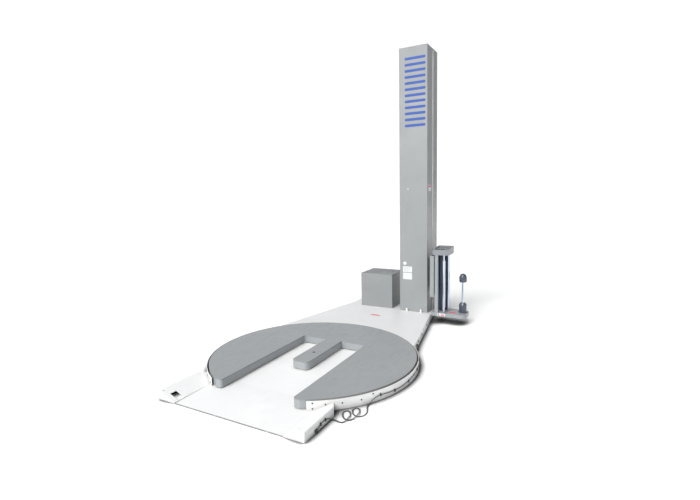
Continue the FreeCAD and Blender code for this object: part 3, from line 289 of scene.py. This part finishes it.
motor_paint = Shader("motor_enamel", (0.06, 0.085, 0.12), 0.32, Coat_Weight=0.3, Coat_Roughness=0.2)
motor_paint.mottle(22.0, 5.0, 0.45, 0.72, 0.5, (0.10, 0.13, 0.17))
motor_paint.tint(motor_paint.product(motor_paint.crevice(0.02), 0.4), (0.12, 0.11, 0.09))
motor_paint.bump(motor_paint.noise(420.0, 4.0), 0.3, 0.0005, 0.0015)

chain = Shader("oiled_chain", (0.15, 0.13, 0.11), 0.35, 0.8)
chain.mottle(60.0, 5.0, 0.45, 0.7, 0.6, (0.28, 0.25, 0.21))
chain.bump(chain.spots(125.0, (1.0, 0.5, 0.63)), 0.8, 0.002, 0.0006)

device = Shader("device_housing", (0.26, 0.27, 0.28), 0.5)
device.mottle(8.0, 3.0, 0.45, 0.6, 0.6, (0.40, 0.41, 0.42))
device.uneven_gloss(300.0, 3.0, 0.42, 0.6)
device.bump(device.noise(1500.0, 2.0), 0.25, 0.0002, 0.001)

panel = Shader("panel_housing", (0.075, 0.08, 0.088), 0.45)
panel.mottle(30.0, 4.0, 0.45, 0.7, 0.5, (0.13, 0.135, 0.145))
panel.uneven_gloss(500.0, 3.0, 0.38, 0.56)
panel.bump(panel.noise(1800.0, 2.0), 0.3, 0.0002, 0.0008)


def button_plastic(name, colour, worn):
    """Glossy moulded plastic, rubbed paler in patches."""
    s = Shader(name, colour, 0.25, Coat_Weight=0.4, Coat_Roughness=0.15)
    s.mottle(120.0, 4.0, 0.48, 0.72, 0.5, worn)
    s.uneven_gloss(600.0, 3.0, 0.18, 0.36)
    s.bump(s.noise(1800.0, 2.0), 0.15, 0.0002, 0.0006)
    return s


green = button_plastic("green_plastic", (0.015, 0.28, 0.06), (0.04, 0.36, 0.10))
red = button_plastic("red_plastic", (0.50, 0.012, 0.012), (0.60, 0.05, 0.04))


def printed(name, colour, worn):
    """A screen-printed or film label: satin, with a faint mottle and lifted specks."""
    s = Shader(name, colour, 0.4)
    s.mottle(120.0, 4.0, 0.5, 0.75, 0.35, worn)
    s.uneven_gloss(420.0, 3.0, 0.32, 0.5)
    s.bump(s.noise(1500.0, 2.0), 0.15, 0.0001)
    return s


blue_print = printed("blue_print", (0.020, 0.068, 0.315), (0.035, 0.10, 0.37))
red_print = printed("red_print", (0.62, 0.03, 0.08), (0.68, 0.12, 0.16))
label_white = printed("label_white", (0.62, 0.64, 0.65), (0.54, 0.56, 0.57))
label_grey = printed("label_grey", (0.33, 0.34, 0.35), (0.40, 0.41, 0.42))
label_dark = printed("label_dark", (0.11, 0.115, 0.12), (0.17, 0.175, 0.18))
label_yellow = printed("label_yellow", (0.75, 0.50, 0.04), (0.68, 0.45, 0.08))

glass = Shader("display_glass", (0.02, 0.035, 0.05), 0.08, Coat_Weight=0.6, Coat_Roughness=0.05)
glass.mottle(60.0, 3.0, 0.5, 0.75, 0.3, (0.04, 0.06, 0.08))
glass.rough(glass.remap(glass.noise(300.0, 4.0), 0.4, 0.7, 0.05, 0.16))
glass.bump(glass.noise(40.0, 2.0), 0.05, 0.0001)

# the finish of each CAD node
by_node = {
    deck_top: ["deck_plate"],
    deck_side: ["deck_frame"],
    white: ["floor_plate", "left_wing", "right_wing", "left_skirt", "right_skirt", "bridge_frame"],
    cover_white: ["bridge_cover"],
    ramp_white: ["entry_ramp"],
    mast_paint: ["mast_front_cover", "mast_cap"],
    rear_paint: ["mast_rear_cover"],
    box_paint: ["control_box", "box_door"],
    carriage_paint: ["carriage_pan", "carriage_frame", "carriage_post"],
    head_paint: ["carriage_head"],
    steel: ["pivot_post", "pivot_hub", "wheel_brackets", "mast_column", "carriage_slider", "roller_brake",
            "feed_gear", "stretch_gear", "drive_sprocket", "idler_sprocket"],
    bright_zinc: ["foot_bolts"],
    screw_black: ["base_screws", "pivot_screw"],
    chrome: ["front_chrome_roller", "rear_chrome_roller", "spindle_shaft"],
    rubber: ["feed_roller", "stretch_roller"],
    tyre: ["left_drive_wheel", "right_drive_wheel"],
    nylon: ["support_wheel_%d" % k for k in range(1, 7)],
    core: ["spindle_cone", "spindle_plug"],
    sheath: ["sensor_cable"],
    black: ["cable_fittings", "main_switch", "door_latch"],
    motor_paint: ["lift_motor", "left_drive_motor", "right_drive_motor"],
    chain: ["lift_chain"],
    device: ["component_plate"],
    panel: ["operator_panel"],
    green: ["start_button"],
    red: ["stop_button", "emergency_stop"],
}
for shader, names in by_node.items():
    for name in names:
        mesh = nodes[name].data
        mesh.materials.clear()
        mesh.materials.append(shader.mat)


# --- small pieces that are only looks -----------------------------------------------------------
def outline(width, height, radius, steps=6):
    """A rounded rectangle as a list of points about its centre."""
    points = []
    for cx, cy, start in ((1, 1, 0), (-1, 1, 90), (-1, -1, 180), (1, -1, 270)):
        for k in range(steps + 1):
            a = math.radians(start + 90 * k / steps)
            x = cx * (width / 2 - radius) + radius * math.cos(a)
            y = cy * (height / 2 - radius) + radius * math.sin(a)
            points.append((x, y))
    return points


def oval(half_width, half_height, count):
    """An oval as a list of points about its centre."""
    turns = [2 * math.pi * k / count for k in range(count)]
    return [(half_width * math.cos(a), half_height * math.sin(a)) for a in turns]


def finished(name, bm, place, shader, body):
    """Makes the piece from its mesh, and says its finish and the body that it rides on."""
    mesh = bpy.data.meshes.new(name)
    bm.to_mesh(mesh)
    bm.free()
    mesh.transform(place)
    piece = bpy.data.objects.new(name, mesh)
    scene.collection.objects.link(piece)
    mesh.materials.append(shader.mat)
    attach(piece, body)
    return piece


def flat_piece(name, points, place, thickness, shader, body):
    """A thin plate of that outline with a softened rim, laid where place puts its plane."""
    bm = bmesh.new()
    low = [bm.verts.new((x, y, 0)) for x, y in points]
    rim = [bm.verts.new((x, y, thickness * 0.6)) for x, y in points]
    inset = thickness * 0.4
    top = []
    for x, y in points:
        length = math.hypot(x, y) or 1.0
        top.append(bm.verts.new((x - x / length * inset, y - y / length * inset, thickness)))
    count = len(points)
    for ring_a, ring_b in ((low, rim), (rim, top)):
        for k in range(count):
            n = (k + 1) % count
            bm.faces.new((ring_a[k], ring_a[n], ring_b[n], ring_b[k]))
    bm.faces.new(top)
    bm.faces.new(list(reversed(low)))
    return finished(name, bm, place, shader, body)


def facing(origin, right, up):
    """Places a plane at origin with its own x along right and y along up."""
    x, y = Vector(right).normalized(), Vector(up).normalized()
    z = x.cross(y)
    turn = Matrix((x, y, z)).transposed().to_4x4()
    return Matrix.Translation(Vector(origin)) @ turn


FRONT = ((1, 0, 0), (0, 0, 1))
RIGHT = ((0, 1, 0), (0, 0, 1))
LEFT = ((0, -1, 0), (0, 0, 1))
UP = ((1, 0, 0), (0, 1, 0))


def label(name, origin, way, size, shader, body, radius=0.002, thickness=0.0006):
    """A flat rounded plate: origin is its middle, way its right and its up."""
    place = facing(origin, *way)
    return flat_piece(name, outline(size[0], size[1], radius), place, thickness, shader, body)


mast_low, mast_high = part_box("mast_front_cover")
mast_face = mast_low.y
mast_side = mast_high.x

# a ladder of plain blue bars where the mast carries its printed band
band_middle = 0.341
band_top = 2.716
band_step = 0.0612
for k in range(12):
    label("band_bar_%d" % k, (band_middle, mast_face, band_top - band_step * k), FRONT, (0.222, 0.027),
          blue_print, "base", 0.012)

# a round seal, a ruled plate and a blank plate, one under the other
seal_place = facing((0.224, mast_face, 0.594), *FRONT)
flat_piece("data_seal", oval(0.019, 0.019, 32), seal_place, 0.0006, label_white, "base")
plate_middle = 0.2535
label("data_plate", (plate_middle, mast_face, 0.530), FRONT, (0.101, 0.062), label_white, "base",
      0.004, 0.0010)
label("data_plate_2", (plate_middle, mast_face, 0.456), FRONT, (0.101, 0.070), label_white, "base",
      0.004, 0.0010)
line_start = 0.2135
line_top = 0.550
line_step = 0.013
for k, width in enumerate((0.080, 0.066, 0.080, 0.052)):
    place = (line_start + width / 2, mast_face - 0.0009, line_top - line_step * k)
    label("data_line_%d" % k, place, FRONT, (width, 0.0035), label_grey, "base", 0.0015,
          0.0005)

# a small notice with a bar on the mast's right side
notice_y = 1.600
label("mast_notice", (mast_side, notice_y, 1.396), RIGHT, (0.080, 0.066), label_white, "base",
      0.004, 0.0008)
label("mast_notice_bar", (mast_side + 0.0007, notice_y, 1.412), RIGHT, (0.066, 0.018), red_print, "base",
      0.002)

bridge_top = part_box("bridge_cover")[1].z
mark_place = facing((0.006, 1.217, bridge_top), *UP)
flat_piece("bridge_mark", oval(0.055, 0.017, 40), mark_place, 0.0006, red_print, "base")

pan_low, pan_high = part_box("carriage_pan")
pan_front = pan_low.y
label("pan_notice", (0.745, 1.502, pan_high.z), UP, (0.058, 0.040), red_print, "carriage",
      0.004)
label("pan_front_plate", (0.645, pan_front, 0.097), FRONT, (0.084, 0.026), label_white, "carriage",
      0.003)
label("pan_front_bar", (0.660, pan_front - 0.0005, 0.0955), FRONT, (0.034, 0.012), red_print, "carriage",
      0.003)
label("pan_front_seal", (0.618, pan_front - 0.0005, 0.097), FRONT, (0.015, 0.015), label_dark, "carriage",
      0.007)

# the operator panel's display, with three blank fields
panel_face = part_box("operator_panel")[0].x
panel_middle = 1.715
display_height = 1.365
stop_height = 1.285
button_height = 1.215
label("display_glass", (panel_face + 0.0019, panel_middle, display_height), LEFT, (0.102, 0.068), glass,
      "base", 0.003, 0.0008)
for k, y in enumerate((1.692, panel_middle, 1.738)):
    label("display_row_%d" % k, (panel_face + 0.0010, y, display_height + 0.007), LEFT, (0.014, 0.018),
          label_white, "base", 0.002, 0.0004)


def ring(name, centre, inner, outer, depth, shader, body, segments=48):
    """A raised ring on a face that looks towards -X, with centre on that face."""
    bm = bmesh.new()
    rings = []
    for radius, x in ((inner, 0.0), (inner, -depth * 0.7), (inner + depth * 0.3, -depth),
                      (outer - depth * 0.3, -depth), (outer, -depth * 0.7), (outer, 0.0)):
        circle = []
        for k in range(segments):
            a = 2 * math.pi * k / segments
            point = (centre[0] + x, centre[1] + radius * math.cos(a), centre[2] + radius * math.sin(a))
            circle.append(bm.verts.new(point))
        rings.append(circle)
    for a, b in zip(rings, rings[1:] + rings[:1]):
        for k in range(segments):
            n = (k + 1) % segments
            bm.faces.new((a[k], b[k], b[n], a[n]))
    bmesh.ops.recalc_face_normals(bm, faces=bm.faces)
    return finished(name, bm, Matrix(), shader, body)


for k, y in enumerate((1.680, 1.750)):
    ring("button_ring_%d" % k, (panel_face, y, button_height), 0.0113, 0.0150, 0.0022, zinc, "base")
ring("stop_collar", (panel_face, panel_middle, stop_height), 0.0113, 0.0300, 0.0012, label_yellow, "base")

# the round lock on the mast's front: the ring is made facing -X, then turned to face -Y
lock_place = (0.263, mast_face, 1.389)
lock = ring("mast_lock_ring", (0.0, 0.0, 0.0), 0.0035, 0.009, 0.003, zinc, "base")
lock.data.transform(Matrix.Rotation(math.radians(90), 4, "Z"))
lock.data.transform(Matrix.Translation(lock_place))

# --- the sensor cable ---------------------------------------------------------------------------
# where the lead's middle line runs, from its gland on the bridge to the socket on the right wing
cable_route = [
    (0.674, 0.590, 0.040), (0.684, 0.540, 0.042), (0.698, 0.489, 0.044), (0.732, 0.428, 0.047),
    (0.764, 0.364, 0.049), (0.792, 0.299, 0.050), (0.814, 0.232, 0.049), (0.830, 0.163, 0.047),
    (0.841, 0.093, 0.044), (0.846, 0.022, 0.040), (0.845, -0.049, 0.035), (0.838, -0.119, 0.030),
    (0.825, -0.189, 0.027), (0.806, -0.257, 0.027), (0.782, -0.324, 0.031), (0.754, -0.384, 0.037),
    (0.733, -0.427, 0.031), (0.719, -0.460, 0.015), (0.713, -0.485, 0.005), (0.717, -0.512, 0.0026),
    (0.729, -0.537, 0.0026), (0.742, -0.566, 0.0026), (0.748, -0.597, 0.0026), (0.743, -0.625, 0.0026),
    (0.730, -0.643, 0.0026), (0.710, -0.650, 0.0026), (0.689, -0.643, 0.0026), (0.670, -0.626, 0.0026),
    (0.658, -0.604, 0.0026), (0.650, -0.582, 0.0026), (0.657, -0.561, 0.0026), (0.677, -0.555, 0.0026),
    (0.694, -0.573, 0.0035), (0.705, -0.600, 0.008), (0.712, -0.629, 0.013), (0.714, -0.659, 0.013),
    (0.708, -0.688, 0.007), (0.695, -0.708, 0.0026), (0.675, -0.715, 0.0026), (0.652, -0.706, 0.0026),
    (0.632, -0.686, 0.0026), (0.619, -0.662, 0.0026), (0.612, -0.638, 0.0026), (0.620, -0.617, 0.0026),
    (0.640, -0.612, 0.0026), (0.656, -0.630, 0.0026), (0.668, -0.654, 0.0035), (0.676, -0.679, 0.0085),
    (0.680, -0.702, 0.013), (0.681, -0.726, 0.013), (0.677, -0.743, 0.008), (0.664, -0.755, 0.0035),
    (0.645, -0.757, 0.0026), (0.626, -0.751, 0.0026), (0.608, -0.747, 0.0035), (0.595, -0.755, 0.008),
    (0.589, -0.771, 0.016), (0.588, -0.792, 0.025), (0.588, -0.818, 0.032), (0.588, -0.846, 0.034),
    (0.588, -0.872, 0.030), (0.588, -0.894, 0.022), (0.588, -0.912, 0.015),
]
cable_diameter = 0.005
curve = bpy.data.curves.new("sensor_lead", "CURVE")
curve.dimensions = "3D"
spline = curve.splines.new("NURBS")
spline.points.add(len(cable_route) - 1)
for point, place in zip(spline.points, cable_route):
    point.co = (*place, 1)
spline.order_u = 3
spline.use_endpoint_u = True
curve.resolution_u = 10
curve.bevel_depth = cable_diameter / 2
curve.bevel_resolution = 4
curve.use_fill_caps = True
lead = bpy.data.objects.new("sensor_lead", curve)
scene.collection.objects.link(lead)
curve.materials.append(sheath.mat)
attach(lead, "base")
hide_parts("sensor_cable")


# --- stage --------------------------------------------------------------------------------------
def stage_plane(name, size, z):
    """A level square that isn't part of the object."""
    mesh = bpy.data.meshes.new(name)
    h = size / 2
    mesh.from_pydata([(-h, -h, z), (h, -h, z), (h, h, z), (-h, h, z)], [], [(0, 1, 2, 3)])
    piece = bpy.data.objects.new(name, mesh)
    scene.collection.objects.link(piece)
    return piece


floor_shader = Shader("studio_floor", (0.90, 0.90, 0.90), 0.85, Specular_IOR_Level=0.1)
floor_shader.mottle(0.6, 3.0, 0.3, 0.8, 0.3, (0.885, 0.885, 0.885))
# the floor is painted dark close to the object by an occlusion node: a painted contact shadow
near = floor_shader.tree.nodes.new("ShaderNodeAmbientOcclusion")
near.samples = 12
near.inputs["Distance"].default_value = 0.15
contact_shadow = floor_shader.remap(near.outputs["AO"], 0.88, 0.52, 0.0, 0.95)
# the painted contact shadow stays off the floor inside the left wing, which shows through its hand hole
wing_low, wing_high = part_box("left_wing")
inside_x = floor_shader.band("X", wing_low.x + 0.04, wing_high.x, 0.02)
inside_y = floor_shader.band("Y", wing_low.y + 0.05, wing_high.y - 0.02, 0.02)
outside = floor_shader.remap(floor_shader.product(inside_x, inside_y), 0.0, 1.0, 1.0, 0.0)
floor_shader.tint(floor_shader.product(contact_shadow, outside), (0.04, 0.04, 0.043))
floor = stage_plane("studio_floor", 90.0, -0.0005)
floor.data.materials.append(floor_shader.mat)

# a white dome behind everything, which lights nothing and shows in no reflection
dome_mat = bpy.data.materials.new("studio_dome")
dome_mat.use_nodes = True
dome_mat.node_tree.nodes.clear()
dome_out = dome_mat.node_tree.nodes.new("ShaderNodeOutputMaterial")
dome_glow = dome_mat.node_tree.nodes.new("ShaderNodeEmission")
dome_glow.inputs["Color"].default_value = (1, 1, 1, 1)
dome_glow.inputs["Strength"].default_value = 1.10
dome_mat.node_tree.links.new(dome_glow.outputs[0], dome_out.inputs[0])
bm = bmesh.new()
bmesh.ops.create_uvsphere(bm, u_segments=48, v_segments=24, radius=40.0)
dome_mesh = bpy.data.meshes.new("studio_dome")
bm.to_mesh(dome_mesh)
bm.free()
dome = bpy.data.objects.new("studio_dome", dome_mesh)
scene.collection.objects.link(dome)
dome_mesh.materials.append(dome_mat)
dome.visible_diffuse = False
dome.visible_glossy = False
dome.visible_shadow = False
dome.visible_transmission = False

world = bpy.data.worlds.new("studio")
scene.world = world
world.use_nodes = True
tree = world.node_tree
background = tree.nodes["Background"]
background.inputs["Color"].default_value = (0.96, 0.98, 1.0, 1)
sky_coord = tree.nodes.new("ShaderNodeTexCoord")
sky_split = tree.nodes.new("ShaderNodeSeparateXYZ")
tree.links.new(sky_coord.outputs["Generated"], sky_split.inputs[0])
# the studio is brighter on the left than on the right
sky_level = tree.nodes.new("ShaderNodeMapRange")
sky_level.inputs["From Min"].default_value = -0.6
sky_level.inputs["From Max"].default_value = 0.7
sky_level.inputs["To Min"].default_value = 0.62
sky_level.inputs["To Max"].default_value = 0.28
tree.links.new(sky_split.outputs["X"], sky_level.inputs["Value"])
tree.links.new(sky_level.outputs["Result"], background.inputs["Strength"])


def sun(name, azimuth, elevation, strength, angle, colour):
    """A distant soft light; azimuth 0 shines from -Y, positive towards +X."""
    data = bpy.data.lights.new(name, "SUN")
    data.energy = strength
    data.angle = math.radians(angle)
    data.color = colour
    light = bpy.data.objects.new(name, data)
    a, e = math.radians(azimuth), math.radians(elevation)
    way = Vector((math.sin(a) * math.cos(e), -math.cos(a) * math.cos(e), math.sin(e)))
    light.rotation_euler = way.to_track_quat("Z", "Y").to_euler()
    scene.collection.objects.link(light)


def area(name, place, target, size, power):
    """A square soft box at place, turned to target."""
    data = bpy.data.lights.new(name, "AREA")
    data.energy = power
    data.size = size
    light = bpy.data.objects.new(name, data)
    light.location = place
    way = Vector(place) - Vector(target)
    light.rotation_euler = way.to_track_quat("Z", "Y").to_euler()
    scene.collection.objects.link(light)


# a high soft key from the front, with soft boxes at the front and on the right
sun("key_sun", -8.0, 46.0, 3.75, 42.0, (1.0, 0.995, 0.98))
area("front_soft", (-1.5, -5.0, 3.2), (0.0, -0.4, 0.0), 3.0, 60.0)
area("right_soft", (5.2, -1.2, 1.6), (0.6, 0.0, 0.1), 3.0, 28.0)

# --- camera -------------------------------------------------------------------------------------
camera_data = bpy.data.cameras.new("photo_view")
camera_data.sensor_fit = "HORIZONTAL"
camera_data.sensor_width = 36.0
camera_data.lens = 22.62
camera_data.shift_x = 0.0193
camera_data.shift_y = -0.0174
camera_data.clip_end = 200.0
camera = bpy.data.objects.new("photo_view", camera_data)
scene.collection.objects.link(camera)
camera_place = Matrix.Translation((1.864, -2.938, 1.359))
yaw = Matrix.Rotation(math.radians(29.07), 4, "Z")
tilt = Matrix.Rotation(math.pi / 2 - math.radians(5.78), 4, "X")
roll = Matrix.Rotation(math.radians(-1.14), 4, "Z")
camera.matrix_world = camera_place @ yaw @ tilt @ roll
scene.camera = camera

scene.view_settings.view_transform = "Standard"
